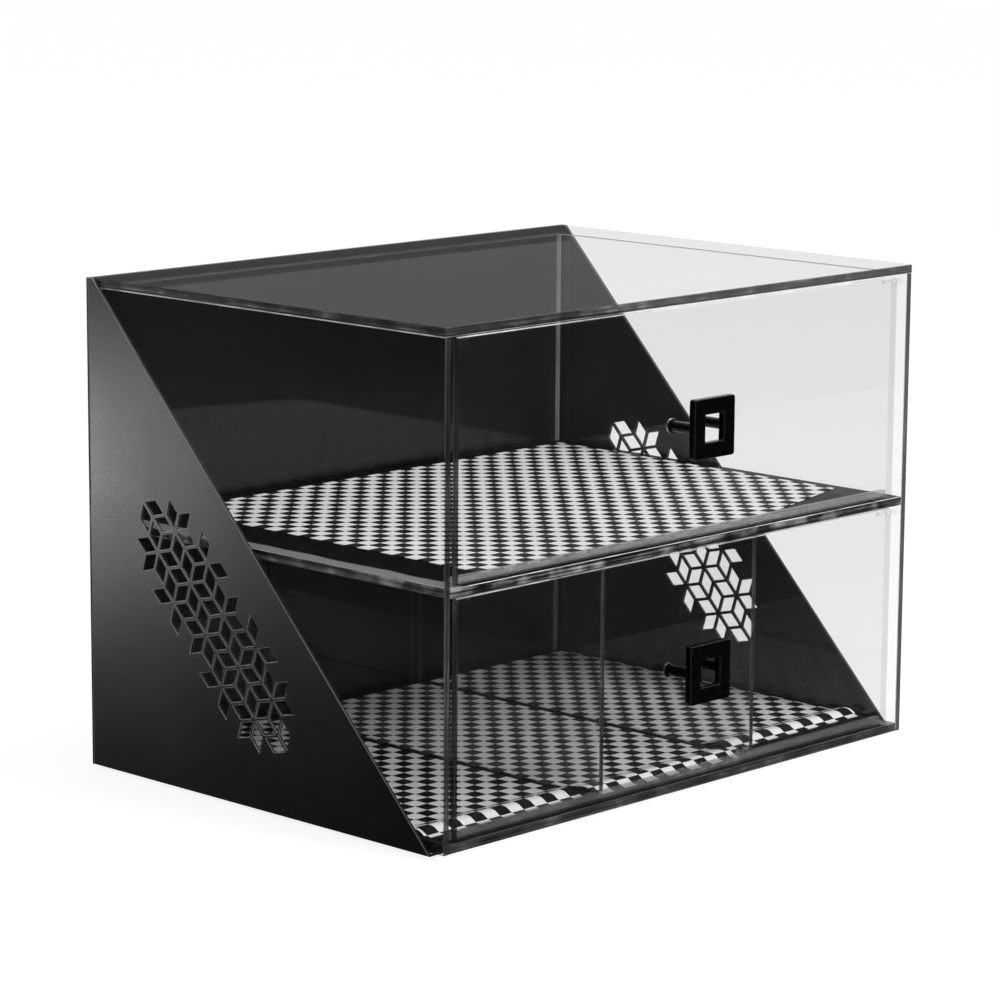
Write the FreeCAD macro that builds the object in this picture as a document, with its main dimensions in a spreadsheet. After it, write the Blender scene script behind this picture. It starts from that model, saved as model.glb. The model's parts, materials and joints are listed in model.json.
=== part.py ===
import FreeCAD, Part
import math
import os
import re

import Sketcher

# A two-tier clear acrylic display case that stands in a cradle of black sheet steel.
# Millimetres, X to the right, Y to the back, Z up. The origin is on the counter, under
# the middle of the whole outline.

# The driving sizes, each one cell of the sheet.
DRIVING_SIZES = (
    # Clear case
    ("case_width", 450),
    ("case_depth", 325),
    ("case_height", 325),
    ("wall_thickness", 5),
    ("deck_thickness", 6),
    ("bond_line", 0.1),
    # Steel cradle
    ("sheet_thickness", 2),
    ("cradle_gap", 0.5),
    ("nose_setback", 9.5),
    ("wing_top_flat", 4),
    # Feet
    ("foot_diameter", 12),
    ("foot_tread_diameter", 10),
    ("foot_height", 2.5),
    ("foot_inset", 20),
    # Band of lozenge cut-outs in each wing
    ("lozenge_spacing", 13.24),
    ("lozenge_web", 2.2),
    ("lozenge_band_inset", 62.7),
    # Dividers, and the strips that the doors close against
    ("divider_thickness", 4),
    ("divider_door_gap", 1),
    ("divider_notch_gap", 0.2),
    ("strip_size", 4.5),
    ("strip_door_gap", 0.3),
    # Doors
    ("door_thickness", 5),
    ("door_inset", 1.8),
    ("door_side_gap", 8.5),
    ("door_top_gap", 1.5),
    ("door_bottom_gap", 1),
    # Door pivots
    ("pivot_drop", 3),
    ("pin_diameter", 2.5),
    ("pin_depth", 12),
    ("pin_end_gap", 0.6),
    ("pin_running_gap", 0.05),
    ("boss_diameter", 7),
    ("boss_end_gap", 0.4),
    # Door handles
    ("handle_side", 39),
    ("handle_opening", 18),
    ("handle_thickness", 5),
    ("handle_corner_radius", 2),
    ("handle_shift", 4),
    ("post_diameter", 7),
    ("post_length", 19.5),
    ("washer_diameter", 9.8),
    ("washer_thickness", 1.3),
    ("washer_gap", 0.1),
    ("screw_diameter", 4),
    ("screw_hole_gap", 0.15),
    ("screw_reach", 8),
    ("screw_head_diameter", 7),
    ("screw_head_height", 2.2),
    ("screw_slot_width", 1),
    ("screw_slot_depth", 1.2),
    # Paper liners
    ("paper_thickness", 0.3),
    ("upper_liner_left_margin", 48),
    ("upper_liner_right_margin", 10),
    ("upper_liner_front_margin", 21),
    ("upper_liner_back_margin", 10),
    ("upper_liner_corner_width", 110),
    ("upper_liner_corner_depth", 30),
    ("lower_liner_side_margin", 2),
    ("lower_liner_back_margin", 7),
    ("left_liner_front_margin", 20),
    ("middle_liner_front_margin", 15),
    ("right_liner_front_margin", 30),
    ("liner_rise", 3.5),
    ("liner_front_wave", 11),
    ("liner_back_wave", 17),
)
SIZE_NAMES = {size_name for size_name, _ in DRIVING_SIZES}

# The middle of the band of cut-outs, as a share of the slanted edge, up from the nose.
BAND_MIDDLE_SHARE = 0.4813

# One quarter of the band, which is mirrored both along and across it. Each line has a row,
# counted out from the middle, and its places along the band in lozenge spacings.
BAND_PLACE_SHARES = (
    (0, (0, 5)),
    (1, (0.75, 1.75, 3.25, 4.25, 5.75, 6.75)),
    (2, (2.5,)),
    (3, (0.75, 1.75, 3.25, 4.25, 5.75)),
    (4, (0, 5)),
    (5, (1.75, 3.25)),
)
# Leaning lozenges lean the other way after each such stretch of the band, in spacings.
BAND_LEAN_SHARE = 2.5

doc = FreeCAD.newDocument("bread_display_bin")
sheet = doc.addObject("Spreadsheet::Sheet", "sizes")
for row_number, (size_name, millimetres) in enumerate(DRIVING_SIZES, start=1):
    sheet.set(f"A{row_number}", size_name)
    sheet.set(f"B{row_number}", str(millimetres))
    sheet.setAlias(f"B{row_number}", size_name)
doc.recompute()


def bound(text):
    """Write an expression with the sheet's name before each driving size."""
    def named(word):
        return "sizes." * (word.group() in SIZE_NAMES) + word.group()

    return re.sub(r"[a-z_]+", named, text)


def worth(text):
    """Work out an expression in the driving sizes."""
    return float(sheet.evalExpression(bound(text)))


# Places that several pieces share, as expressions in the driving sizes.
# Across, from the middle out:
CASE_HALF = "(case_width / 2)"
WALL_INSIDE = f"({CASE_HALF} - wall_thickness)"
DECK_END = f"({WALL_INSIDE} - bond_line)"
WING_INSIDE = f"({CASE_HALF} + cradle_gap)"
WING_OUTSIDE = f"({WING_INSIDE} + sheet_thickness)"
DOOR_HALF = f"({WALL_INSIDE} - door_side_gap)"
BAY_WIDTH = f"((2 * {WALL_INSIDE} - 2 * divider_thickness) / 3)"
POST_SPREAD = "((handle_side + handle_opening) / 4)"
# From the front to the back:
HANDLE_REACH = "(post_length + handle_thickness - door_inset)"
CASE_FRONT = f"(({HANDLE_REACH} - case_depth - cradle_gap - sheet_thickness) / 2)"
CASE_BACK = f"({CASE_FRONT} + case_depth)"
BACK_WALL_FRONT = f"({CASE_BACK} - wall_thickness)"
DECK_BACK = f"({BACK_WALL_FRONT} - bond_line)"
BACK_PLATE_FRONT = f"({CASE_BACK} + cradle_gap)"
NOSE = f"({CASE_FRONT} + nose_setback)"
DOOR_FRONT = f"({CASE_FRONT} + door_inset)"
PIVOT_Y = f"({DOOR_FRONT} + door_thickness / 2)"
DOOR_BACK = f"({DOOR_FRONT} + door_thickness)"
STRIP_FRONT = f"({DOOR_BACK} + strip_door_gap)"
STRIP_BACK = f"({STRIP_FRONT} + strip_size)"
DIVIDER_FRONT = f"({DOOR_BACK} + divider_door_gap)"
HANDLE_BACK = f"({DOOR_FRONT} - post_length)"
# From the counter up:
BASE_TOP = "(foot_height + sheet_thickness)"
FLOOR_TOP = f"({BASE_TOP} + deck_thickness)"
TIER_HEIGHT = "((case_height - 3 * deck_thickness) / 2)"
SHELF_BOTTOM = f"({FLOOR_TOP} + {TIER_HEIGHT})"
SHELF_TOP = f"({SHELF_BOTTOM} + deck_thickness)"
CASE_TOP = f"({BASE_TOP} + case_height)"
CEILING = f"({CASE_TOP} - deck_thickness)"
WALL_TOP = f"({CEILING} - bond_line)"

# The deck under each tier and the one over it.
TIERS = {"upper": (SHELF_TOP, CEILING), "lower": (FLOOR_TOP, SHELF_BOTTOM)}
SIDES = {"left": -1, "right": 1}

ALONG_X = FreeCAD.Rotation(FreeCAD.Vector(0, 1, 0), 90)
ALONG_MINUS_Y = FreeCAD.Rotation(FreeCAD.Vector(1, 0, 0), 90)

pieces = []


def keep(piece, label):
    """Give a finished piece the label that names its file."""
    piece.Label = label
    pieces.append(piece)
    return piece


def place(item, x="0", y="0", z="0", turn=FreeCAD.Rotation()):
    """Turn an object and bind its place to the driving sizes."""
    item.Placement = FreeCAD.Placement(FreeCAD.Vector(), turn)
    for axis, text in (("x", x), ("y", y), ("z", z)):
        item.setExpression(f"Placement.Base.{axis}", bound(text))


def block(name, x, y, z):
    """A rectangular block between a low and a high bound on each axis."""
    item = doc.addObject("Part::Box", name)
    for length, (low, high) in (("Length", x), ("Width", y), ("Height", z)):
        item.setExpression(length, bound(f"{high} - ({low})"))
    place(item, x[0], y[0], z[0])
    return item


def rod(name, diameter, length, x="0", y="0", z="0", turn=FreeCAD.Rotation()):
    """A round rod from its start point along the turned Z axis."""
    item = doc.addObject("Part::Cylinder", name)
    item.setExpression("Radius", bound(f"({diameter}) / 2"))
    item.setExpression("Height", bound(length))
    place(item, x, y, z, turn)
    return item


def cut(name, base, tool):
    """The first object less the second."""
    item = doc.addObject("Part::Cut", name)
    item.Base = base
    item.Tool = tool
    return item


def joined(name, items):
    """Several solids made into one."""
    item = doc.addObject("Part::MultiFuse", name)
    item.Shapes = items
    return item


def group(name, items):
    """Several separate solids kept in one object."""
    item = doc.addObject("Part::Compound", name)
    item.Links = items
    return item


def mirrored(text, side):
    """An expression on the left or the right of the middle."""
    return f"{SIDES[side]} * {text}"


def span(low, high, side):
    """A low and a high bound, given for the right side, on either side."""
    return (low, high) if side == "right" else (f"-1 * {high}", f"-1 * {low}")


def new_sketch(body, name, plane):
    """An empty sketch on one of the body's own origin planes."""
    sketch = body.newObject("Sketcher::SketchObject", name)
    support = next(item for item in body.Origin.OriginFeatures if item.Role == plane)
    sketch.AttachmentSupport = (support, [""])
    sketch.MapMode = "FlatFace"
    return sketch


def constrain(sketch, kind, *where, text=None):
    """Add a constraint, bound to an expression where one is given."""
    if text is None:
        sketch.addConstraint(Sketcher.Constraint(kind, *where))
        return
    index = sketch.addConstraint(Sketcher.Constraint(kind, *where, worth(text)))
    sketch.setExpression(f"Constraints[{index}]", bound(text))


def closed_lines(sketch, points):
    """Draw a closed run of lines and return the number of the first."""
    first = sketch.GeometryCount
    corners = [FreeCAD.Vector(*point, 0) for point in points]
    for start, end in zip(corners, corners[1:] + corners[:1]):
        sketch.addGeometry(Part.LineSegment(start, end), False)
    for index in range(len(corners)):
        constrain(sketch, "Coincident", first + index, 2, first + (index + 1) % len(corners), 1)
    return first


def square(sketch, side):
    """A square about the sketch's origin."""
    half = worth(side) / 2
    first = closed_lines(sketch, ((-half, -half), (half, -half), (half, half), (-half, half)))
    for line in (first, first + 2):
        constrain(sketch, "Horizontal", line)
    for line in (first + 1, first + 3):
        constrain(sketch, "Vertical", line)
    constrain(sketch, "Symmetric", first, 1, first + 2, 1, -1, 1)
    constrain(sketch, "DistanceX", first, 1, first, 2, text=side)
    constrain(sketch, "DistanceY", first + 1, 1, first + 1, 2, text=side)


def circle(sketch, diameter, x, y):
    """A circle at a place measured from the sketch's origin."""
    middle = FreeCAD.Vector(worth(x), worth(y), 0)
    index = sketch.addGeometry(Part.Circle(middle, FreeCAD.Vector(0, 0, 1), worth(diameter) / 2), False)
    constrain(sketch, "DistanceX", -1, 1, index, 3, text=x)
    constrain(sketch, "DistanceY", -1, 1, index, 3, text=y)
    constrain(sketch, "Diameter", index, text=diameter)


def add_pad(body, name, sketch, length, symmetric=False):
    """Thicken a sketch into a solid."""
    feature = body.newObject("PartDesign::Pad", name)
    feature.Profile = sketch
    feature.setExpression("Length", bound(length))
    feature.Midplane = symmetric
    doc.recompute()
    return feature


def add_pocket(body, name, sketch, length, symmetric=False, reverse=False):
    """Cut a sketch out of the body, and make sure that it takes something away."""
    before = body.Shape.Volume
    feature = body.newObject("PartDesign::Pocket", name)
    feature.Profile = sketch
    feature.setExpression("Length", bound(length))
    feature.Midplane = symmetric
    feature.Reversed = reverse
    doc.recompute()
    if not body.Shape.Volume < before:
        raise RuntimeError(f"{name} cuts nothing")
    return feature


# Steel cradle


def lozenge_centres():
    """Each lozenge's place along and across the band, from its middle, and its turn in degrees."""
    spacing = worth("lozenge_spacing")
    row_step = spacing * math.sqrt(3) / 4
    centres = []
    for row, places in BAND_PLACE_SHARES:
        for place_share in places:
            for along_sign in (1, -1) if place_share else (1,):
                for across_sign in (1, -1) if row else (1,):
                    leans_back = (int(place_share / BAND_LEAN_SHARE) + row // 2) % 2
                    lean = along_sign * across_sign * (-1 if leans_back else 1)
                    turn = 60 * lean if row % 2 else 0
                    along = along_sign * place_share * spacing
                    centres.append((along, across_sign * row * row_step, turn))
    return centres


def lozenge_corners(turn):
    """A lozenge about its own middle, with its long diagonal across the band before the turn."""
    spacing = worth("lozenge_spacing")
    height = spacing * math.sqrt(3) / 2
    shrink = (height - worth("lozenge_web")) / height
    half_short = shrink * spacing / 2
    half_long = shrink * height
    angle = math.radians(turn)
    corners = []
    for along, across in ((half_short, 0), (0, half_long), (-half_short, 0), (0, -half_long)):
        corners.append((along * math.cos(angle) - across * math.sin(angle),
                        along * math.sin(angle) + across * math.cos(angle)))
    return corners


def draw_lozenges(sketch, run, rise):
    """Draw the band of lozenges beside the slanted edge, whose run and rise are given."""
    edge = math.hypot(run, rise)
    along_y, along_z = run / edge, rise / edge
    middle_along = BAND_MIDDLE_SHARE * edge
    inset = worth("lozenge_band_inset")
    for place_along, place_across, turn in lozenge_centres():
        points = []
        for corner_along, corner_across in lozenge_corners(turn):
            along = middle_along + place_along + corner_along
            across = inset + place_across + corner_across
            points.append((along * along_y + across * along_z, along * along_z - across * along_y))
        closed_lines(sketch, points)


def make_wing(side):
    """A right-triangle side of the cradle, with its nose at the body's own origin."""
    length = f"({BACK_PLATE_FRONT} - {NOSE})"
    height = f"({CASE_TOP} - foot_height)"
    run = worth(f"{length} - wing_top_flat")
    body = doc.addObject("PartDesign::Body", f"{side}_wing_body")
    outline = new_sketch(body, f"{side}_wing_outline", "YZ_Plane")
    corners = ((0, 0), (worth(length), 0), (worth(length), worth(height)), (run, worth(height)))
    first = closed_lines(outline, corners)
    constrain(outline, "Coincident", first, 1, -1, 1)
    constrain(outline, "Horizontal", first)
    constrain(outline, "Vertical", first + 1)
    constrain(outline, "Horizontal", first + 2)
    constrain(outline, "DistanceX", first, 1, first, 2, text=length)
    constrain(outline, "DistanceY", first + 1, 1, first + 1, 2, text=height)
    constrain(outline, "DistanceX", first + 2, 2, first + 2, 1, text="wing_top_flat")
    add_pad(body, f"{side}_wing_plate", outline, "sheet_thickness")
    lozenges = new_sketch(body, f"{side}_wing_lozenges", "YZ_Plane")
    draw_lozenges(lozenges, run, worth(height))
    add_pocket(body, f"{side}_wing_cutouts", lozenges, "3 * sheet_thickness", symmetric=True)
    place(body, span(WING_INSIDE, WING_OUTSIDE, side)[0], NOSE, "foot_height")
    keep(body, f"{side}_wing")


def make_cradle():
    """The back, the bottom and the two sides, butted at their edges, on four feet."""
    back = (BACK_PLATE_FRONT, f"{BACK_PLATE_FRONT} + sheet_thickness")
    keep(block("back_sheet", (f"-1 * {WING_OUTSIDE}", WING_OUTSIDE), back, ("foot_height", CASE_TOP)),
         "back_plate")
    keep(block("base_sheet", (f"-1 * {WING_INSIDE}", WING_INSIDE), (NOSE, BACK_PLATE_FRONT),
               ("foot_height", BASE_TOP)), "base_plate")
    for side in SIDES:
        make_wing(side)
        for end, y in (("front", f"{NOSE} + foot_inset"), ("rear", f"{BACK_PLATE_FRONT} - foot_inset")):
            foot = doc.addObject("Part::Cone", f"{end}_{side}_bumper")
            foot.setExpression("Radius1", bound("foot_tread_diameter / 2"))
            foot.setExpression("Radius2", bound("foot_diameter / 2"))
            foot.setExpression("Height", bound("foot_height"))
            place(foot, mirrored(f"({WING_INSIDE} - foot_inset)", side), y)
            keep(foot, f"{end}_{side}_foot")


# Clear case


def make_shell():
    """The top, the sides, the back, the floor and the shelf."""
    full_depth = (CASE_FRONT, CASE_BACK)
    deck_width = (f"-1 * {DECK_END}", DECK_END)
    deck_depth = (CASE_FRONT, DECK_BACK)
    keep(block("top_sheet", (f"-1 * {CASE_HALF}", CASE_HALF), full_depth, (CEILING, CASE_TOP)),
         "top_panel")
    for side in SIDES:
        across = span(WALL_INSIDE, CASE_HALF, side)
        keep(block(f"{side}_side", across, full_depth, (BASE_TOP, WALL_TOP)), f"{side}_wall")
    keep(block("back_side", deck_width, (BACK_WALL_FRONT, CASE_BACK), (BASE_TOP, WALL_TOP)), "back_wall")
    keep(block("floor_sheet", deck_width, deck_depth, (BASE_TOP, FLOOR_TOP)), "floor_panel")
    keep(block("shelf_sheet", deck_width, deck_depth, (SHELF_BOTTOM, SHELF_TOP)), "mid_shelf")


def make_strips():
    """The square bars behind each door's lower edge."""
    for tier, (deck, _) in TIERS.items():
        keep(block(f"{tier}_strip", (f"-1 * {DOOR_HALF}", DOOR_HALF), (STRIP_FRONT, STRIP_BACK),
                   (f"{deck} + bond_line", f"{deck} + bond_line + strip_size")), f"{tier}_stop_strip")


def make_dividers():
    """Two upright plates that part the lower tier, each notched over the stop strip."""
    low = f"({FLOOR_TOP} + bond_line)"
    for side in SIDES:
        across = span(f"{BAY_WIDTH} / 2", f"({BAY_WIDTH} / 2 + divider_thickness)", side)
        plate = block(f"{side}_divider_plate", across, (DIVIDER_FRONT, DECK_BACK),
                      (low, f"{SHELF_BOTTOM} - bond_line"))
        notch = block(f"{side}_divider_notch", across, (DOOR_BACK, f"{STRIP_BACK} + divider_notch_gap"),
                      (FLOOR_TOP, f"{low} + strip_size + divider_notch_gap"))
        keep(cut(f"{side}_divider_cut", plate, notch), f"{side}_divider")


def make_bosses():
    """The bored rounds on the side walls that carry the doors' pins."""
    length = "(door_side_gap - boss_end_gap - bond_line)"
    for tier, (_, ceiling) in TIERS.items():
        z = f"{ceiling} - door_top_gap - pivot_drop"
        for side in SIDES:
            start = DECK_END if side == "left" else f"({DECK_END} - {length})"
            x = f"-1 * {start}" if side == "left" else start
            name = f"{tier}_{side}_boss"
            outer = rod(name, "boss_diameter", length, x, PIVOT_Y, z, ALONG_X)
            bore = rod(f"{name}_bore", "pin_diameter + 2 * pin_running_gap", length, x, PIVOT_Y, z,
                       ALONG_X)
            keep(cut(f"{name}_bored", outer, bore), f"{tier}_{side}_pivot_boss")


# Doors


def door_top(tier):
    """The height of a door's rounded upper edge."""
    return f"({TIERS[tier][1]} - door_top_gap)"


def door_bottom(tier):
    """The height of a door's lower edge."""
    return f"({TIERS[tier][0]} + door_bottom_gap)"


def make_door_panel(tier):
    """A door with a rounded upper edge, whose own origin is the middle of its lower edge."""
    height = f"({door_top(tier)} - {door_bottom(tier)})"
    straight = worth(f"{height} - door_thickness / 2")
    half = worth("door_thickness / 2")
    body = doc.addObject("PartDesign::Body", f"{tier}_door_body")
    profile = new_sketch(body, f"{tier}_door_profile", "YZ_Plane")
    low_front, low_back = FreeCAD.Vector(-half, 0, 0), FreeCAD.Vector(half, 0, 0)
    high_front, high_back = FreeCAD.Vector(-half, straight, 0), FreeCAD.Vector(half, straight, 0)
    round_edge = Part.Circle(FreeCAD.Vector(0, straight, 0), FreeCAD.Vector(0, 0, 1), half)
    bottom = profile.addGeometry(Part.LineSegment(low_front, low_back), False)
    back = profile.addGeometry(Part.LineSegment(low_back, high_back), False)
    top = profile.addGeometry(Part.ArcOfCircle(round_edge, 0, math.pi), False)
    front = profile.addGeometry(Part.LineSegment(high_front, low_front), False)
    constrain(profile, "Coincident", bottom, 2, back, 1)
    constrain(profile, "Coincident", back, 2, top, 1)
    constrain(profile, "Coincident", top, 2, front, 1)
    constrain(profile, "Coincident", front, 2, bottom, 1)
    constrain(profile, "Vertical", back)
    constrain(profile, "Vertical", front)
    constrain(profile, "Symmetric", bottom, 1, bottom, 2, -1, 1)
    constrain(profile, "Horizontal", bottom)
    constrain(profile, "Equal", back, front)
    constrain(profile, "Horizontal", top, 3, back, 2)
    constrain(profile, "DistanceX", bottom, 1, bottom, 2, text="door_thickness")
    constrain(profile, "DistanceY", back, 1, back, 2, text=f"{height} - door_thickness / 2")
    add_pad(body, f"{tier}_door_sheet", profile, f"2 * {DOOR_HALF}", symmetric=True)
    for side in SIDES:
        holes = new_sketch(body, f"{tier}_{side}_screw_circle", "XZ_Plane")
        circle(holes, "screw_diameter + 2 * screw_hole_gap",
               f"{mirrored(POST_SPREAD, side)} - handle_shift", f"{height} / 2")
        add_pocket(body, f"{tier}_{side}_screw_hole", holes, "3 * door_thickness", symmetric=True)
        bores = new_sketch(body, f"{tier}_{side}_pin_circle", "YZ_Plane")
        bores.setExpression("AttachmentOffset.Base.z", bound(mirrored(DOOR_HALF, side)))
        circle(bores, "pin_diameter", "0", f"{height} - pivot_drop")
        add_pocket(body, f"{tier}_{side}_pin_bore", bores, "pin_depth", reverse=side == "left")
    place(body, "0", PIVOT_Y, door_bottom(tier))
    keep(body, f"{tier}_door_panel")


def make_pins(tier):
    """The two steel pins in a door's side edges."""
    z = f"{door_top(tier)} - pivot_drop"
    length = "(pin_depth + door_side_gap - pin_end_gap)"
    for side in SIDES:
        start = f"{DOOR_HALF} - pin_depth" if side == "right" else f"-1 * {WALL_INSIDE} + pin_end_gap"
        pin = rod(f"{tier}_{side}_pin", "pin_diameter", length, start, PIVOT_Y, z, ALONG_X)
        keep(pin, f"{tier}_{side}_pivot_pin")


def make_handle_plate(tier):
    """The square ring, with rounded corners, whose own origin is the middle of its back."""
    body = doc.addObject("PartDesign::Body", f"{tier}_handle_body")
    outline = new_sketch(body, f"{tier}_handle_outline", "XZ_Plane")
    square(outline, "handle_side")
    square(outline, "handle_opening")
    ring = add_pad(body, f"{tier}_handle_ring", outline, "handle_thickness")
    corners = []
    for index, edge in enumerate(ring.Shape.Edges, start=1):
        box = edge.BoundBox
        upright = box.YLength > box.XLength + box.ZLength
        if upright and abs(box.Center.x) > worth(POST_SPREAD):
            corners.append(f"Edge{index}")
    rounds = body.newObject("PartDesign::Fillet", f"{tier}_handle_rounds")
    rounds.Base = (ring, corners)
    rounds.setExpression("Radius", bound("handle_corner_radius"))
    place(body, "-1 * handle_shift", HANDLE_BACK, f"({door_top(tier)} + {door_bottom(tier)}) / 2")
    keep(body, f"{tier}_handle_plate")


def make_screw(name, x, z):
    """A slotted screw from the door's back face into a post."""
    slot_width = "(screw_slot_width / 2)"
    head_back = f"({DOOR_BACK} + screw_head_height)"
    head = rod(f"{name}_head", "screw_head_diameter", "screw_head_height", x, head_back, z, ALONG_MINUS_Y)
    shank = rod(f"{name}_shank", "screw_diameter", "screw_head_height + door_thickness + screw_reach",
                x, head_back, z, ALONG_MINUS_Y)
    slot = block(f"{name}_slot", (f"{x} - screw_head_diameter", f"{x} + screw_head_diameter"),
                 (f"{head_back} - screw_slot_depth", f"{head_back} + screw_slot_depth"),
                 (f"{z} - {slot_width}", f"{z} + {slot_width}"))
    return cut(f"{name}_slotted", joined(f"{name}_blank", [head, shank]), slot)


def make_handle(tier):
    """The ring, its two posts, and the washers and screws that hold them."""
    make_handle_plate(tier)
    z = f"(({door_top(tier)} + {door_bottom(tier)}) / 2)"
    washers = []
    screws = []
    for side in SIDES:
        x = f"({mirrored(POST_SPREAD, side)} - handle_shift)"
        name = f"{tier}_{side}"
        post = rod(f"{name}_post", "post_diameter", "post_length", x, DOOR_FRONT, z, ALONG_MINUS_Y)
        bore = rod(f"{name}_post_bore", "screw_diameter", "screw_reach", x, DOOR_FRONT, z, ALONG_MINUS_Y)
        keep(cut(f"{name}_post_bored", post, bore), f"{name}_handle_post")
        disc = rod(f"{name}_disc", "washer_diameter", "washer_thickness", x, DOOR_FRONT, z, ALONG_MINUS_Y)
        eye = rod(f"{name}_disc_eye", "post_diameter + 2 * washer_gap", "washer_thickness",
                  x, DOOR_FRONT, z, ALONG_MINUS_Y)
        washers.append(cut(f"{name}_washer", disc, eye))
        screws.append(make_screw(f"{name}_screw", x, z))
    keep(group(f"{tier}_washer_pair", washers), f"{tier}_handle_washers")
    keep(group(f"{tier}_screw_pair", screws), f"{tier}_handle_screws")


# Paper liners


def wave_edge(start, length, rise, offset):
    """Two arcs that climb or fall smoothly, seen from the side, moved off their line by an offset."""
    height = abs(rise)
    radius = (length ** 2 + height ** 2) / (4 * height)
    half_turn = math.atan2(height, length)
    arcs = []
    for begins, up in ((True, rise > 0), (False, rise < 0)):
        foot_y = start[0] if begins else start[0] + length
        foot_z = start[1] if begins else start[1] + rise
        middle_z = foot_z + radius if up else foot_z - radius
        own_radius = radius - offset if up else radius + offset
        sense = 1 if begins else -1
        points = []
        for turned in (0, half_turn, 2 * half_turn):
            drop = own_radius * math.cos(turned)
            points.append(FreeCAD.Vector(0, foot_y + sense * own_radius * math.sin(turned),
                                         middle_z - drop if up else middle_z + drop))
        if not begins:
            points.reverse()
        arcs.append(Part.Arc(*points).toShape())
    return arcs


def make_flat_liner(name):
    """A flat sheet of paper on the shelf, its front right corner trimmed at a slant."""
    low_x = worth(f"-1 * {WALL_INSIDE} + upper_liner_left_margin")
    high_x = worth(f"{WALL_INSIDE} - upper_liner_right_margin")
    front = worth(f"{CASE_FRONT} + upper_liner_front_margin")
    back = worth(f"{BACK_WALL_FRONT} - upper_liner_back_margin")
    deck = worth(f"{SHELF_TOP} + bond_line")
    corner_x = high_x - worth("upper_liner_corner_width")
    corner_y = front + worth("upper_liner_corner_depth")
    outline = ((low_x, front), (corner_x, front), (high_x, corner_y), (high_x, back), (low_x, back))
    wire = Part.makePolygon([FreeCAD.Vector(x, y, deck) for x, y in outline + outline[:1]])
    liner = doc.addObject("Part::Feature", f"{name}_paper")
    liner.Shape = Part.Face(wire).extrude(FreeCAD.Vector(0, 0, worth("paper_thickness")))
    keep(liner, name)


def make_waved_liner(name, low_x, high_x, front_margin):
    """A sheet of paper that lies flat, with a low wave beside its front edge."""
    deck = worth(f"{FLOOR_TOP} + bond_line")
    front = worth(f"{CASE_FRONT} + {front_margin}")
    back = worth(f"{BACK_WALL_FRONT} - lower_liner_back_margin")
    crest = front + worth("liner_front_wave")
    flat = crest + worth("liner_back_wave")
    rise = worth("liner_rise")
    thickness = worth("paper_thickness")

    def side_line(offset):
        edges = wave_edge((front, deck), crest - front, rise, offset)
        edges += wave_edge((crest, deck + rise), flat - crest, -rise, offset)
        start, end = FreeCAD.Vector(0, flat, deck + offset), FreeCAD.Vector(0, back, deck + offset)
        return edges + [Part.LineSegment(start, end).toShape()]

    under, over = side_line(0), side_line(thickness)
    front_edge = Part.LineSegment(FreeCAD.Vector(0, front, deck), FreeCAD.Vector(0, front, deck + thickness))
    back_edge = Part.LineSegment(FreeCAD.Vector(0, back, deck), FreeCAD.Vector(0, back, deck + thickness))
    outline = under + [back_edge.toShape()] + over + [front_edge.toShape()]
    face = Part.Face(Part.Wire(Part.__sortEdges__(outline)))
    liner = doc.addObject("Part::Feature", f"{name}_paper")
    liner.Shape = face.extrude(FreeCAD.Vector(worth(f"{high_x} - ({low_x})"), 0, 0))
    place(liner, low_x)
    keep(liner, name)


def make_liners():
    """One liner on the shelf and one in each bay of the lower tier."""
    make_flat_liner("upper_liner")
    inner = f"({BAY_WIDTH} / 2 - lower_liner_side_margin)"
    bay_middle = f"({BAY_WIDTH} + divider_thickness)"
    make_waved_liner("lower_left_liner", f"-1 * {bay_middle} - {inner}", f"-1 * {bay_middle} + {inner}",
                     "left_liner_front_margin")
    make_waved_liner("lower_middle_liner", f"-1 * {inner}", inner, "middle_liner_front_margin")
    make_waved_liner("lower_right_liner", f"{bay_middle} - {inner}", f"{bay_middle} + {inner}",
                     "right_liner_front_margin")


make_cradle()
make_shell()
make_strips()
make_dividers()
make_bosses()
for door in TIERS:
    make_door_panel(door)
    make_pins(door)
    make_handle(door)
make_liners()
doc.recompute()

for item in doc.Objects:
    if "Invalid" in item.State or "Error" in item.State:
        raise RuntimeError(f"{item.Name} failed: {item.State}")
for piece in pieces:
    if piece.Shape.isNull() or not piece.Shape.isValid():
        raise RuntimeError(f"{piece.Label} has no valid shape")

os.makedirs("parts", exist_ok=True)
for piece in pieces:
    piece.Shape.exportStep(f"parts/{piece.Label}.step")
    box = piece.Shape.BoundBox
    print(f"{piece.Label}: {len(piece.Shape.Solids)} solid, {piece.Shape.Volume:.0f} cubic millimetres, "
          f"x {box.XMin:.1f} to {box.XMax:.1f}, y {box.YMin:.1f} to {box.YMax:.1f}, "
          f"z {box.ZMin:.1f} to {box.ZMax:.1f}")
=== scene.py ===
import json
import math

import bmesh
import bpy
from mathutils import Matrix, Vector

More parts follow.
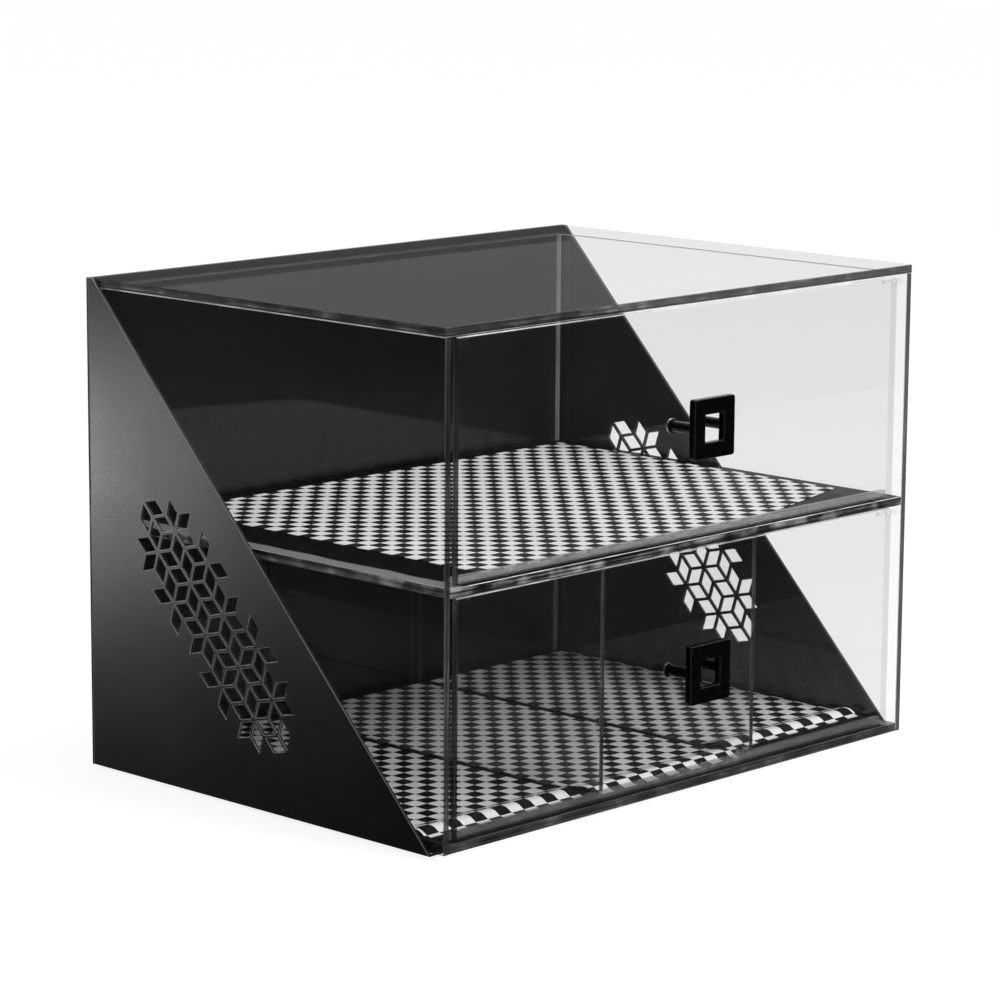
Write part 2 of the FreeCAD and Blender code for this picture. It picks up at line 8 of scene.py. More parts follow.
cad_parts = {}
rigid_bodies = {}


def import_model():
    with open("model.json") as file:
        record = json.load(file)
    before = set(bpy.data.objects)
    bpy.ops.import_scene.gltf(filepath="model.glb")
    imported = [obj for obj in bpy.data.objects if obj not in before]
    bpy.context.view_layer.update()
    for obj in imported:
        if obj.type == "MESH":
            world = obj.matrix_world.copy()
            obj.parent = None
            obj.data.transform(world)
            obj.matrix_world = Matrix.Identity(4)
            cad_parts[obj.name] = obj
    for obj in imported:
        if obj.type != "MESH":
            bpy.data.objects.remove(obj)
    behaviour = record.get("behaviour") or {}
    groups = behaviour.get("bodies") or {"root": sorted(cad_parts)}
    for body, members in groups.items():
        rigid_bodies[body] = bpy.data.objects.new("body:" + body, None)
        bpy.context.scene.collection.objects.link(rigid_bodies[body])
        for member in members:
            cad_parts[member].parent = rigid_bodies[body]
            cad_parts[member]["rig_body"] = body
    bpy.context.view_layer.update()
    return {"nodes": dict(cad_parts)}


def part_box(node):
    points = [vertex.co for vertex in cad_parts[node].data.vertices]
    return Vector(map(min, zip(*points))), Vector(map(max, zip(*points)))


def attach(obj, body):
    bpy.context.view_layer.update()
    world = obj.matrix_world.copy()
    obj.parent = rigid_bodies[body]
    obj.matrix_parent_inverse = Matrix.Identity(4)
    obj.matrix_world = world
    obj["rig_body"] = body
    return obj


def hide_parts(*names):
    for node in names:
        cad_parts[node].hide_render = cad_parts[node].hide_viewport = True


# The looks of a two-tier clear display case in a cradle of black sheet steel.
# Metres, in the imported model's frame: X to the right, Y to the back, Z up.

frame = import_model()
NODES = frame["nodes"]

MM = 0.001
AXES = {"x": 0, "y": 1, "z": 2}

# Meshes: what counts as square, level, long, sharp or flat, and the width of a softened edge
SQUARE_TO_AXIS = 0.999
CREST_SHARE = 0.6
LEVEL_EDGE = 0.5
LONG_EDGE = 30 * MM
EDGE_WIDTH = 0.35 * MM
MERGE_REACH = 0.001 * MM
SHARP_ANGLE = math.radians(30)
FLAT_ANGLE = math.radians(0.2)

# Places of a clear sheet's materials in its list; two of them hold the dim and the bright painted highlight
# of its edges
FACE, END, DIM_GLINT, BRIGHT_GLINT, SIDE, BORE = range(6)

# Camera, solved from the photograph; angles in radians, lens and sensor in millimetres
EYE = Vector((-1.7929, -1.7022, 0.6389))
HEADING = 0.80621
TILT = 0.18528
ROLL = 0.00678
LENS = 134.92
SENSOR = 36.0
CLIP_START = 0.05
CLIP_END = 60.0

# World: the bright backdrop stands behind the part, and the sides and front are dim
BACKDROP = (math.sin(HEADING), math.cos(HEADING), 0.0)
WORLD_LIGHT = 0.55
SIDE_GLOSS = 0.05
BACKDROP_FULL = 0.9
CLEAR_PASSES = 48

# Floor: its own grey under the lamps, the glow that makes it white, and its mirrored level
FLOOR_HALF = 8.0
FLOOR_GREY = 0.8
FLOOR_SHADED = 0.22
FLOOR_GLOW = 0.87
FLOOR_MIRRORED = 0.015
FLOOR_FADE = (0.4, 3.0)

# Lamps: name, place, aim, size, power in watts, and whether gloss shows it
WING_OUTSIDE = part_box("left_wing")[0].x
LAMPS = (
    ("top_lamp", (0.2, -0.3, 1.9), (0, 0, 0.1), (0.7, 0.7), 10.5, True),
    ("front_lamp", (0.9, -2.2, 1.2), (0, 0, 0.12), (1.2, 1.2), 66.0, False),
    ("left_lamp", (-0.68, 0.83, 0.06), (WING_OUTSIDE, 0.165, 0.21), (0.2, 0.13), 1.35, True),
)

# Clear sheets: tints of the broad faces
WALL_TINT = (0.954, 0.956, 0.958)
TOP_TINT = (0.958, 0.959, 0.961)
DECK_TINT = (0.93, 0.932, 0.935)
BAR_TINT = (0.84, 0.845, 0.85)
SMALL_TINT = (0.985, 0.986, 0.988)
END_TINT = (0.85, 0.85, 0.86)
EDGE_TINT = (0.95, 0.95, 0.95)
# Colour of the dusty haze, and of the painted pale band on the shelf
DUST_AND_BAND_COLOUR = (0.8, 0.8, 0.8)

# Clear sheets: what changes with the look, from 0 straight on to 1 grazing
GRAZE_POWER = 5.0
DEEP_LOOK = (0.56, 0.72)
BAND_LOOK = (0.4, 0.7)

# Clear sheets: greys painted on the ends for what they refract and mirror, a painted reflection, as places
# on a streaky noise and levels
SLATE_PAINTED_REFLECTION = ((0.12, 0.008), (0.24, 0.022), (0.34, 0.045), (0.46, 0.15))
SHELF_END_PAINTED_REFLECTION = ((0.16, 0.004), (0.24, 0.016), (0.315, 0.1), (0.42, 0.33))
TOP_END_PAINTED_REFLECTION = ((0.12, 0.008), (0.24, 0.026), (0.32, 0.06), (0.4, 0.17))
PALE_PAINTED_LIGHT = ((0.15, 0.5), (0.26, 0.7), (0.4, 0.9))
END_COVER = 0.93
STREAK_ALONG = 7.0
STREAK_ACROSS = 420.0

# The pale band painted on the shelf along the left wall, a painted highlight, and the dark line painted low
# in the top panel's ends, part of their painted reflection
BAND_WIDTH = 13.0 * MM
BAND_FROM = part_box("left_wall")[1].x + BAND_WIDTH
BAND_FADE = 2.0 * MM
BAND_RAGGED = 1.5 * MM
LOW_LINE_WIDTH = 0.7 * MM
TOP_LOW_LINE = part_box("top_panel")[0].z + LOW_LINE_WIDTH
LOW_LINE_FADE = 1.0 * MM
LOW_LINE_LEVEL = 0.2

# Liners: side of a check, white and ink
CHECK_SIDE = 10.8 * MM
PAPER_WHITE = ((0.3, (0.8, 0.795, 0.78)), (0.7, (0.89, 0.89, 0.88)))
PAPER_INK = ((0.35, 0.004), (0.75, 0.016))
FIBRE_RELIEF = 0.15

# Rounded edges of the solid pieces
STEEL_ROUND = 0.45 * MM
STEEL_LONG_EDGE = 3 * MM
HANDLE_ROUND = 0.6 * MM
POST_ROUND = 0.3 * MM
BOSS_ROUND = 0.3 * MM
FOOT_ROUND = 0.3 * MM
PIN_ROUND = 0.2 * MM
WASHER_ROUND = 0.2 * MM
SCREW_ROUND = 0.15 * MM

# Depths of the fine relief
WAVE_DEPTH = 0.25 * MM
STREAK_DEPTH = 0.2 * MM
GRAIN_DEPTH = 0.13 * MM
WIPE_DEPTH = 0.05 * MM
TURNING_DEPTH = 0.02 * MM
PEBBLE_DEPTH = 0.1 * MM
CREASE_DEPTH = 0.5 * MM

# Greys of the washers and the feet, as places on a noise and levels
STEEL_GREYS = ((0.3, (0.56, 0.56, 0.57)), (0.7, (0.72, 0.72, 0.73)))
RUBBER_GREYS = ((0.3, 0.012), (0.7, 0.024))

# Turning marks of the washers, which follow each other along the door's own line
TURNING_STRETCH = (1500.0, 9000.0, 1500.0)

# The range that most of a noise's values fill
NOISE_SPAN = (0.3, 0.7)

# Sockets of a colour Mix node
MIX_FACTOR, MIX_FIRST, MIX_SECOND, MIX_RESULT = 0, 6, 7, 2


# Node building


def new_material(name):
    """An empty node material and its tree."""
    material = bpy.data.materials.new(name)
    material.use_nodes = True
    material.node_tree.nodes.clear()
    return material, material.node_tree


def add(tree, kind, inputs=None, **settings):
    """Add a node, set its options, and link or set its inputs."""
    node = tree.nodes.new(kind)
    for key, value in settings.items():
        setattr(node, key, value)
    for socket, value in (inputs or {}).items():
        if isinstance(value, bpy.types.NodeSocket):
            tree.links.new(value, node.inputs[socket])
        else:
            node.inputs[socket].default_value = value
    return node


def math_node(tree, operation, first, second, third=None):
    """A Math node's output."""
    inputs = {0: first, 1: second}
    if third is not None:
        inputs[2] = third
    return add(tree, "ShaderNodeMath", inputs, operation=operation).outputs[0]


def mix_shaders(tree, share, first, second):
    """A mix of two shaders, with the second one's share."""
    return add(tree, "ShaderNodeMixShader", {0: share, 1: first, 2: second}).outputs[0]


def span_to(tree, value, span, result, smooth=False):
    """A value taken from one range to another, and held at its ends."""
    node = add(tree, "ShaderNodeMapRange", {
        "Value": value, "From Min": span[0], "From Max": span[1], "To Min": result[0], "To Max": result[1],
    }, interpolation_type="SMOOTHSTEP" if smooth else "LINEAR")
    return node.outputs["Result"]


def object_place(tree, scale=(1, 1, 1)):
    """The place on the part in metres, stretched by a scale."""
    place = add(tree, "ShaderNodeTexCoord").outputs["Object"]
    return add(tree, "ShaderNodeMapping", {"Vector": place, "Scale": scale}).outputs["Vector"]


def coordinate(tree, axis):
    """One coordinate of the place on the part."""
    return add(tree, "ShaderNodeSeparateXYZ", {0: object_place(tree)}).outputs[axis]


def noise(tree, place, scale, detail=3.0, roughness=0.5):
    """A noise value at a place."""
    node = add(tree, "ShaderNodeTexNoise", {
        "Vector": place, "Scale": scale, "Detail": detail, "Roughness": roughness,
    })
    return node.outputs["Fac"]


def bump(tree, height, strength, depth):
    """A bumped normal."""
    node = add(tree, "ShaderNodeBump", {"Height": height, "Strength": strength, "Distance": depth})
    return node.outputs["Normal"]


def grey_ramp(tree, value, stops):
    """A ramp between levels or colours at places of a value."""
    node = add(tree, "ShaderNodeValToRGB", {"Fac": value})
    ramp = node.color_ramp
    while len(ramp.elements) < len(stops):
        ramp.elements.new(0.5)
    for element, (place, level) in zip(ramp.elements, stops):
        element.position = place
        element.color = (*level, 1) if isinstance(level, tuple) else (level, level, level, 1)
    return node.outputs["Color"]


def transparent(tree, tint):
    """A clear shader that lets light through straight."""
    return add(tree, "ShaderNodeBsdfTransparent", {"Color": (*tint, 1)}).outputs[0]


def principled(tree, **values):
    """A Principled shader with its sockets named by words joined with an underscore."""
    inputs = {socket.replace("_", " "): value for socket, value in values.items()}
    return add(tree, "ShaderNodeBsdfPrincipled", inputs).outputs[0]


def seen_from_inside(tree):
    """One where the surface is seen from behind."""
    return add(tree, "ShaderNodeNewGeometry").outputs["Backfacing"]


def finish_surface(tree, shader):
    """Send a shader to the material's surface."""
    add(tree, "ShaderNodeOutputMaterial", {"Surface": shader})


# Clear acrylic


def clear_face(name, tint, reflect, graze, mirror, haze=0.0, band=0.0, deep=None):
    """A broad polished face, clear with a weak reflection that grows at a grazing look."""
    material, tree = new_material(name)
    place = object_place(tree)
    sight = add(tree, "ShaderNodeLayerWeight", {"Blend": 0.5}).outputs["Facing"]
    grown = math_node(tree, "POWER", sight, GRAZE_POWER)
    share = math_node(tree, "MULTIPLY_ADD", grown, graze, reflect)
    wave = noise(tree, place, scale=9.0, detail=1.0)
    wipe = noise(tree, place, scale=35.0, detail=4.0)
    clear = transparent(tree, tint)
    if deep:
        low = span_to(tree, sight, DEEP_LOOK, (0.0, 1.0))
        clear = mix_shaders(tree, low, clear, transparent(tree, (deep, deep, deep)))
    if haze or band:
        clear = dust_and_painted_band(tree, clear, sight, haze, band)
    gloss = add(tree, "ShaderNodeBsdfAnisotropic", {
        "Color": (mirror, mirror, mirror, 1),
        "Roughness": span_to(tree, wipe, (0.35, 0.75), (0.0, 0.012)),
        "Normal": bump(tree, wave, strength=0.2, depth=WAVE_DEPTH),
    }).outputs[0]
    finish_surface(tree, mix_shaders(tree, share, clear, gloss))
    return material


def dust_and_painted_band(tree, clear, sight, haze, band):
    """A clear shader with dusty smears, and with a painted pale highlight band along the bonded joint where
    asked.
    """
    dust_and_band = add(tree, "ShaderNodeBsdfDiffuse", {"Color": (*DUST_AND_BAND_COLOUR, 1)}).outputs[0]
    smear = noise(tree, object_place(tree), scale=60.0, detail=4.0, roughness=0.6)
    share = span_to(tree, smear, NOISE_SPAN, (0.6 * haze, 1.4 * haze))
    if band:
        low = span_to(tree, sight, BAND_LOOK, (0.1, 1.0))
        share = math_node(tree, "ADD", share, math_node(tree, "MULTIPLY", painted_bond_highlight(tree, band), low))
    return mix_shaders(tree, share, clear, dust_and_band)


def painted_bond_highlight(tree, level):
    """A pale band painted along the left wall: a painted highlight for the light at the bonded joint."""
    wobble = noise(tree, object_place(tree), scale=40.0, detail=4.0)
    ragged = span_to(tree, wobble, NOISE_SPAN, (-BAND_RAGGED, BAND_RAGGED))
    reach = math_node(tree, "ADD", coordinate(tree, "X"), ragged)
    return span_to(tree, reach, (BAND_FROM, BAND_FROM - BAND_FADE), (0.0, level))


def clear_end(name, axis, stops, patch_scale, inner, low_line=None):
    """A polished end with painted reflection: a grey laid on it for what it refracts and mirrors, dark and
    streaky along its length, with its own cover where seen from inside.
    """
    material, tree = new_material(name)
    stretch = [STREAK_ALONG, STREAK_ALONG, STREAK_ALONG]
    stretch[AXES[axis]] = STREAK_ACROSS
    streak = noise(tree, object_place(tree, stretch), scale=1.0, detail=5.0, roughness=0.65)
    patch = noise(tree, object_place(tree), scale=patch_scale)
    both = math_node(tree, "MULTIPLY", streak, patch)
    # A dark line painted low in the end, part of the painted reflection
    if low_line:
        line_span = (low_line, low_line + LOW_LINE_FADE)
        line = span_to(tree, coordinate(tree, "Z"), line_span, (LOW_LINE_LEVEL, 1.0))
        both = math_node(tree, "MULTIPLY", both, line)
    solid = principled(
        tree, Base_Color=grey_ramp(tree, both, stops), Specular_IOR_Level=0.4,
        Roughness=span_to(tree, streak, NOISE_SPAN, (0.12, 0.35)),
        Normal=bump(tree, streak, strength=0.2, depth=STREAK_DEPTH),
    )
    share = span_to(tree, seen_from_inside(tree), (0.0, 1.0), (END_COVER, inner))
    finish_surface(tree, mix_shaders(tree, share, transparent(tree, END_TINT), solid))
    return material


def painted_edge_glint(name, level, cover, inner):
    """A narrow polished edge with a painted highlight: a grey laid on it in patches for the light it
    catches.
    """
    material, tree = new_material(name)
    patch = noise(tree, object_place(tree), scale=45.0, detail=4.0, roughness=0.6)
    solid = principled(
        tree, Base_Color=grey_ramp(tree, patch, ((0.3, 0.5 * level), (0.6, level))),
        Roughness=span_to(tree, patch, NOISE_SPAN, (0.1, 0.3)), Specular_IOR_Level=0.5,
    )
    patched = span_to(tree, patch, NOISE_SPAN, (0.6 * cover, cover))
    shown = span_to(tree, seen_from_inside(tree), (0.0, 1.0), (1.0, inner))
    share = math_node(tree, "MULTIPLY", patched, shown)
    finish_surface(tree, mix_shaders(tree, share, transparent(tree, EDGE_TINT), solid))
    return material


# Steel, rubber and paper


def powder_coat(name, level, specular):
    """Satin black powder coat with a fine grain."""
    material, tree = new_material(name)
    place = object_place(tree)
    grain = noise(tree, place, scale=900.0, roughness=0.6)
    cloud = noise(tree, place, scale=14.0, detail=4.0)
    grained = span_to(tree, grain, NOISE_SPAN, (-0.03, 0.03))
    clouded = span_to(tree, cloud, NOISE_SPAN, (0.32, 0.36))
    finish_surface(tree, principled(
        tree, Base_Color=grey_ramp(tree, cloud, ((0.3, level), (0.7, 1.7 * level))),
        Roughness=math_node(tree, "ADD", grained, clouded), Specular_IOR_Level=specular,
        Normal=bump(tree, grain, strength=0.6, depth=GRAIN_DEPTH),
    ))
    return material


def gloss_black(name, level, specular):
    """Deep polished black, nearly a mirror, with faint wipe marks."""
    material, tree = new_material(name)
    wipe = noise(tree, object_place(tree), scale=220.0, detail=4.0, roughness=0.6)
    finish_surface(tree, principled(
        tree, Base_Color=grey_ramp(tree, wipe, ((0.3, level), (0.7, 2.0 * level))),
        Roughness=span_to(tree, wipe, NOISE_SPAN, (0.03, 0.09)), Specular_IOR_Level=specular,
        Normal=bump(tree, wipe, strength=0.05, depth=WIPE_DEPTH),
    ))
    return material


def bright_steel(name):
    """Turned bright steel with fine rings round the door's own line."""
    material, tree = new_material(name)
    rings = noise(tree, object_place(tree, TURNING_STRETCH), scale=1.0, detail=2.0)
    finish_surface(tree, principled(
        tree, Base_Color=grey_ramp(tree, rings, STEEL_GREYS),
        Metallic=1.0, Roughness=span_to(tree, rings, NOISE_SPAN, (0.16, 0.3)),
        Normal=bump(tree, rings, strength=0.1, depth=TURNING_DEPTH),
    ))
    return material


def foot_rubber(name):
    """Matt black rubber with a fine pebble."""
    material, tree = new_material(name)
    pebble = noise(tree, object_place(tree), scale=1400.0)
    finish_surface(tree, principled(
        tree, Base_Color=grey_ramp(tree, pebble, RUBBER_GREYS),
        Roughness=span_to(tree, pebble, NOISE_SPAN, (0.7, 0.85)), Specular_IOR_Level=0.3,
        Normal=bump(tree, pebble, strength=0.4, depth=PEBBLE_DEPTH),
    ))
    return material


def checked_paper(name):
    """Waxed paper printed with black checks, their ink a little uneven."""
    material, tree = new_material(name)
    place = add(tree, "ShaderNodeTexCoord").outputs["Object"]
    split = add(tree, "ShaderNodeSeparateXYZ", {0: place})
    fibre = noise(tree, place, scale=1300.0, detail=4.0, roughness=0.6)
    crease = noise(tree, place, scale=42.0)
    flat = add(tree, "ShaderNodeCombineXYZ", {
        "X": split.outputs["X"], "Y": split.outputs["Y"], "Z": 0.5 * CHECK_SIDE,
    }).outputs[0]
    checks = add(tree, "ShaderNodeTexChecker", {"Vector": flat, "Scale": 1.0 / CHECK_SIDE}).outputs["Fac"]
    colour = add(tree, "ShaderNodeMix", {
        MIX_FACTOR: checks,
        MIX_FIRST: grey_ramp(tree, fibre, PAPER_INK),
        MIX_SECOND: grey_ramp(tree, fibre, PAPER_WHITE),
    }, data_type="RGBA").outputs[MIX_RESULT]
    relief = math_node(tree, "ADD", math_node(tree, "MULTIPLY", fibre, FIBRE_RELIEF), crease)
    finish_surface(tree, principled(
        tree, Base_Color=colour, Roughness=span_to(tree, fibre, NOISE_SPAN, (0.5, 0.62)),
        Specular_IOR_Level=0.12, Normal=bump(tree, relief, strength=0.25, depth=CREASE_DEPTH),
    ))
    return material


# Dressed pieces


def opened(node):
    """A CAD node's own shape as an editable mesh of whole flat faces."""
    shape = bmesh.new()
    shape.from_mesh(NODES[node].data)
    bmesh.ops.remove_doubles(shape, verts=shape.verts, dist=MERGE_REACH)
    bmesh.ops.dissolve_limit(shape, angle_limit=FLAT_ANGLE, verts=shape.verts, edges=shape.edges)
    for face in shape.faces:
        face.material_index = 0
        face.smooth = False
    shape.normal_update()
    return shape


def soften(shape, width, segments, longer_than=0.0, material=-1):
    """Round the sharp edges that are longer than a given length."""
    edges = [
        edge for edge in shape.edges
        if edge.is_manifold and edge.calc_face_angle(0.0) > SHARP_ANGLE and edge.calc_length() > longer_than
    ]
    bmesh.ops.bevel(shape, geom=edges, offset=width, offset_type="OFFSET", segments=segments,
                    profile=0.5, affect="EDGES", clamp_overlap=True, material=material)
    shape.normal_update()


def stand_in(shape, node, materials, smooth=False):
    """Put the shape in place of its CAD node, on the same body."""
    mesh = bpy.data.meshes.new(f"{node}_mesh")
    shape.to_mesh(mesh)
    shape.free()
    for material in materials:
        mesh.materials.append(material)
    piece = bpy.data.objects.new(f"dressed_{node}", mesh)
    bpy.context.scene.collection.objects.link(piece)
    if smooth:
        mesh.polygons.foreach_set("use_smooth", [True] * len(mesh.polygons))
        piece.modifiers.new("weighted_normals", "WEIGHTED_NORMAL").keep_sharp = True
    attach(piece, NODES[node]["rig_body"])
    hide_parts(node)


def place_in_list(face, axis, materials):
    """The place in the list of materials that suits a clear sheet's face."""
    across = abs(face.normal[AXES[axis]])
    if max(abs(value) for value in face.normal) > SQUARE_TO_AXIS:
        if across > SQUARE_TO_AXIS:
            return FACE
        sideways = abs(face.normal.x) > SQUARE_TO_AXIS
        return SIDE if sideways and len(materials) > SIDE else END
    # What is square to no axis is a long facet of a door's rounded upper edge, or a facet of a bore; the
    # crest of the rounded edge gets the bright painted highlight
    if max(edge.calc_length() for edge in face.edges) > LONG_EDGE:
        return BRIGHT_GLINT if across < CREST_SHARE else FACE
    return BORE if len(materials) > BORE else FACE


def dress_sheet(node, axis, materials, glint_side=1):
    """A clear sheet with painted ends and painted highlights on its edges; the level edges that get the
    bright painted highlight face up for 1, down for -1, and none get it for 0.
    """
    shape = opened(node)
    for face in shape.faces:
        face.material_index = place_in_list(face, axis, materials)
    soften(shape, EDGE_WIDTH, 1, longer_than=LONG_EDGE, material=DIM_GLINT)
    # Level edges on the lit side get the bright painted highlight instead of the dim one
    for face in shape.faces:
        if face.material_index == DIM_GLINT and face.normal.z * glint_side > LEVEL_EDGE:
            face.material_index = BRIGHT_GLINT
    stand_in(shape, node, materials)


def dress_solid(node, material, width, longer_than=0.0, edge=None):
    """A solid piece with softened edges, which may have a material of their own, a painted edge highlight.
    """
    shape = opened(node)
    soften(shape, width, 2, longer_than=longer_than, material=1 if edge else -1)
    stand_in(shape, node, (material, edge) if edge else (material,), smooth=True)


def dress_sheets(dim, bright, small):
    """The clear walls, dividers, doors and decks."""
    wall = clear_face("clear_wall_face", WALL_TINT, reflect=0.036, graze=0.06, mirror=1.0, haze=0.002)
    door = clear_face("clear_door_face", WALL_TINT, reflect=0.036, graze=0.06, mirror=1.0, haze=0.003)
    top = clear_face("clear_top_face", TOP_TINT, reflect=0.024, graze=0.045, mirror=1.0)
    behind = clear_face("clear_back_face", WALL_TINT, reflect=0.022, graze=0.06, mirror=1.0)
    floor = clear_face("clear_floor_face", DECK_TINT, reflect=0.05, graze=2.0, mirror=0.3, haze=0.03,
                       deep=0.5)
    # The shelf carries the painted pale highlight band along the left wall
    shelf = clear_face("clear_shelf_face", DECK_TINT, reflect=0.04, graze=2.0, mirror=0.1, haze=0.02,
                       band=0.8, deep=0.3)
    # Painted reflections on the ends of the clear sheets
    wall_end = clear_end("clear_end_x", "x", SLATE_PAINTED_REFLECTION, patch_scale=28.0, inner=0.4)
    door_end = clear_end("clear_end_y", "y", SLATE_PAINTED_REFLECTION, patch_scale=28.0, inner=0.4)
    door_side = clear_end("clear_door_side", "y", SLATE_PAINTED_REFLECTION, patch_scale=28.0, inner=0.05)
    # The back wall's ends are painted pale and shown strongly from inside: painted light for the bright
    # lines at the back corners
    back_side = clear_end("clear_back_side", "y", PALE_PAINTED_LIGHT, patch_scale=28.0, inner=0.85)
    shelf_end = clear_end("clear_end_z", "z", SHELF_END_PAINTED_REFLECTION, patch_scale=55.0, inner=0.3)
    floor_end = clear_end("clear_floor_end", "z", SLATE_PAINTED_REFLECTION, patch_scale=55.0, inner=0.3)
    top_end = clear_end("clear_top_end", "z", TOP_END_PAINTED_REFLECTION, patch_scale=46.0, inner=0.03, low_line=TOP_LOW_LINE)
    dress_sheet("mid_shelf", "z", (shelf, shelf_end, dim, bright))
    for node in ("left_wall", "right_wall", "left_divider", "right_divider"):
        dress_sheet(node, "x", (wall, wall_end, dim, bright))
    for node in ("upper_door_panel", "lower_door_panel"):
        dress_sheet(node, "y", (door, door_end, dim, bright, door_side, small))
    dress_sheet("floor_panel", "z", (floor, floor_end, dim, bright), glint_side=0)
    dress_sheet("back_wall", "y", (behind, door_end, dim, bright, back_side), glint_side=0)
    dress_sheet("top_panel", "z", (top, top_end, dim, bright), glint_side=-1)


def dress_bars(dim, small):
    """The clear stop strips and the pivot bosses."""
    upper = clear_face("clear_upper_bar_face", BAR_TINT, reflect=0.08, graze=0.5, mirror=0.6, haze=0.2)
    lower = clear_face("clear_lower_bar_face", BAR_TINT, reflect=0.06, graze=0.4, mirror=0.6, haze=0.08)
    for tier, bar in (("upper", upper), ("lower", lower)):
        shape = opened(f"{tier}_stop_strip")
        soften(shape, EDGE_WIDTH, 1, longer_than=LONG_EDGE, material=1)
        stand_in(shape, f"{tier}_stop_strip", (bar, dim))
        for side in ("left", "right"):
            dress_solid(f"{tier}_{side}_pivot_boss", small, BOSS_ROUND)


def dress_case():
    """All the clear pieces that don't move, and the doors' panels."""
    # Painted highlights for the softened edges of the clear sheets, dim and bright
    dim = painted_edge_glint("painted_dim_edge_glint", level=0.13, cover=0.7, inner=0.5)
    bright = painted_edge_glint("painted_bright_edge_glint", level=0.75, cover=0.85, inner=0.1)
    small = clear_face("clear_boss_face", SMALL_TINT, reflect=0.008, graze=0.01, mirror=1.0)
    dress_sheets(dim, bright, small)
    dress_bars(dim, small)


def dress_cradle():
    """The black sheet steel and its feet."""
    coat = powder_coat("black_powder_coat", level=0.0022, specular=0.5)
    # The steel's softened edges are painted far lighter than the coat: a painted highlight along its edges
    # and cut-outs
    edge = powder_coat("black_powder_coat_painted_edge_highlight", level=0.12, specular=1.0)
    for node in ("back_plate", "base_plate", "left_wing", "right_wing"):
        dress_solid(node, coat, STEEL_ROUND, longer_than=STEEL_LONG_EDGE, edge=edge)
    rubber = foot_rubber("black_foot_rubber")
    for end in ("front", "rear"):
        for side in ("left", "right"):
            dress_solid(f"{end}_{side}_foot", rubber, FOOT_ROUND)


def dress_handles():
    """The handles with their washers, screws and pins."""
    black = gloss_black("gloss_black_handle", level=0.0008, specular=0.3)
    # The plate's softened edges are a lighter black with a stronger gloss: partly a painted highlight on
    # its rims
    edge = gloss_black("gloss_black_painted_edge_highlight", level=0.006, specular=1.0)
    steel = bright_steel("bright_turned_steel")
    clear = clear_face("clear_pin_face", SMALL_TINT, reflect=0.008, graze=0.01, mirror=1.0)
    for tier in ("upper", "lower"):
        dress_solid(f"{tier}_handle_plate", black, HANDLE_ROUND, edge=edge)
        for side in ("left", "right"):
            dress_solid(f"{tier}_{side}_handle_post", black, POST_ROUND)
            dress_solid(f"{tier}_{side}_pivot_pin", clear, PIN_ROUND)
        dress_solid(f"{tier}_handle_washers", steel, WASHER_ROUND)
        dress_solid(f"{tier}_handle_screws", clear, SCREW_ROUND)


def dress_paper():
    """The checkered liners keep their CAD shapes."""
    paper = checked_paper("checked_wax_paper")
    for node in ("upper_liner", "lower_left_liner", "lower_middle_liner", "lower_right_liner"):
        NODES[node].data.materials.clear()
        NODES[node].data.materials.append(paper)


# Studio


def make_camera():
    """A camera at the photograph's place and angle, with no shift."""
    forward = Vector((
        math.sin(HEADING) * math.cos(TILT), math.cos(HEADING) * math.cos(TILT), -math.sin(TILT),
    ))
    right = Vector((math.cos(HEADING), -math.sin(HEADING), 0.0))
    above = right.cross(forward)
    rolled_right = right * math.cos(ROLL) + above * math.sin(ROLL)
    rolled_above = above * math.cos(ROLL) - right * math.sin(ROLL)
    camera = bpy.data.objects.new("camera", bpy.data.cameras.new("camera"))
    camera.data.lens = LENS
    camera.data.sensor_width = SENSOR
    camera.data.clip_start = CLIP_START
    camera.data.clip_end = CLIP_END
    turn = Matrix((rolled_right, rolled_above, -forward)).transposed()
    camera.matrix_world = Matrix.Translation(EYE) @ turn.to_4x4()
    bpy.context.scene.collection.objects.link(camera)
    bpy.context.scene.camera = camera


def seen_straight(tree, rays):
    """One for rays that come straight from the camera or through a clear piece."""
    return math_node(tree, "MAXIMUM", rays["Is Camera Ray"], rays["Is Transmission Ray"])


def towards_backdrop(tree, place):
    """How far a place or direction lies towards the backdrop."""
    node = add(tree, "ShaderNodeVectorMath", {0: place, 1: BACKDROP}, operation="DOT_PRODUCT")
    return node.outputs["Value"]


def pale_floor():
    """The floor's material: white to the camera, plain to light, and fading in gloss."""
    material, tree = new_material("pale_floor")
    rays = add(tree, "ShaderNodeLightPath").outputs
    plain = add(tree, "ShaderNodeBsdfDiffuse", {"Color": (FLOOR_GREY, FLOOR_GREY, FLOOR_GREY, 1)})
    shaded = add(tree, "ShaderNodeBsdfDiffuse", {"Color": (FLOOR_SHADED, FLOOR_SHADED, FLOOR_SHADED, 1)})
    glow = add(tree, "ShaderNodeEmission", {"Color": (1, 1, 1, 1), "Strength": FLOOR_GLOW})
    pale = add(tree, "ShaderNodeAddShader", {0: shaded.outputs[0], 1: glow.outputs[0]}).outputs[0]
    behind = towards_backdrop(tree, add(tree, "ShaderNodeNewGeometry").outputs["Position"])
    level = span_to(tree, behind, FLOOR_FADE, (FLOOR_MIRRORED, 1.0), smooth=True)
    mirrored = add(tree, "ShaderNodeEmission", {"Color": (1, 1, 1, 1), "Strength": level}).outputs[0]
    lit = mix_shaders(tree, rays["Is Glossy Ray"], plain.outputs[0], mirrored)
    finish_surface(tree, mix_shaders(tree, seen_straight(tree, rays), lit, pale))
    return material


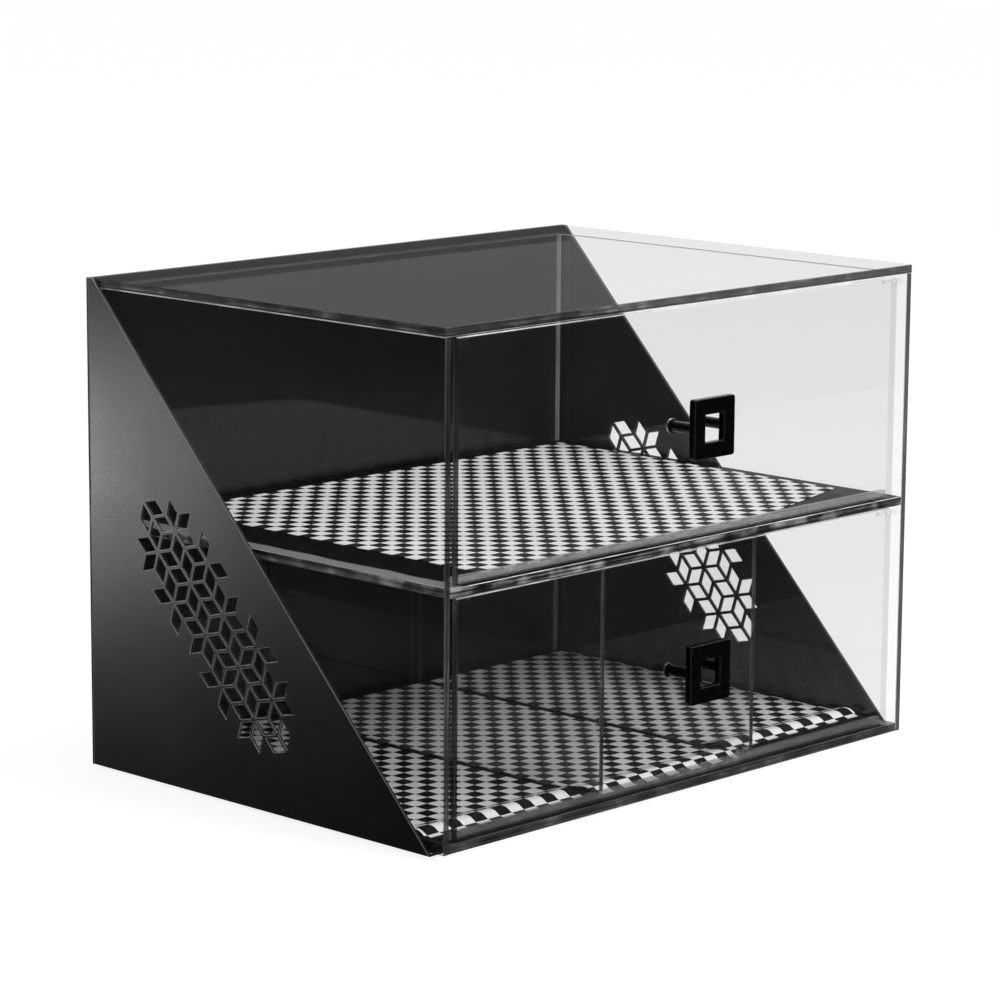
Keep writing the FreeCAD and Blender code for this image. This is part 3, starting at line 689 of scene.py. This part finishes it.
def make_floor():
    """A pale floor that stays white where it is lit and keeps the shadow."""
    corners = [(x * FLOOR_HALF, y * FLOOR_HALF, 0) for x, y in ((-1, -1), (1, -1), (1, 1), (-1, 1))]
    mesh = bpy.data.meshes.new("floor_mesh")
    mesh.from_pydata(corners, [], [(0, 1, 2, 3)])
    floor = bpy.data.objects.new("floor", mesh)
    bpy.context.scene.collection.objects.link(floor)
    mesh.materials.append(pale_floor())


def make_world():
    """White to the camera, a bright backdrop and dim sides to gloss, and plain light."""
    world = bpy.data.worlds.new("studio")
    bpy.context.scene.world = world
    world.use_nodes = True
    tree = world.node_tree
    tree.nodes.clear()
    facing = towards_backdrop(tree, add(tree, "ShaderNodeTexCoord").outputs["Generated"])
    gloss = span_to(tree, facing, (0.0, BACKDROP_FULL), (SIDE_GLOSS, 1.0), smooth=True)
    rays = add(tree, "ShaderNodeLightPath").outputs
    strength = add(tree, "ShaderNodeMix", {"Factor": rays["Is Glossy Ray"], "A": WORLD_LIGHT, "B": gloss})
    strength = add(tree, "ShaderNodeMix", {
        "Factor": seen_straight(tree, rays), "A": strength.outputs[0], "B": 1.0,
    })
    light = add(tree, "ShaderNodeBackground", {"Color": (1, 1, 1, 1), "Strength": strength.outputs[0]})
    add(tree, "ShaderNodeOutputWorld", {"Surface": light.outputs[0]})


def make_lamps():
    """Soft rectangular lamps above, in front and on the left."""
    for name, place, aim, size, power, in_gloss in LAMPS:
        lamp = bpy.data.lights.new(name, "AREA")
        lamp.shape = "RECTANGLE"
        lamp.size, lamp.size_y = size
        lamp.energy = power
        item = bpy.data.objects.new(name, lamp)
        item.location = place
        item.rotation_euler = (Vector(aim) - Vector(place)).to_track_quat("-Z", "Y").to_euler()
        item.visible_glossy = in_gloss
        bpy.context.scene.collection.objects.link(item)


def set_render():
    """Plain display of colour, and enough passes through the clear sheets."""
    scene = bpy.context.scene
    scene.view_settings.view_transform = "Standard"
    scene.cycles.transparent_max_bounces = CLEAR_PASSES


def write_sizes():
    """Bring the view layer up to date."""
    bpy.context.view_layer.update()


make_camera()
make_world()
make_floor()
make_lamps()
set_render()
dress_case()
dress_cradle()
dress_handles()
dress_paper()
write_sizes()
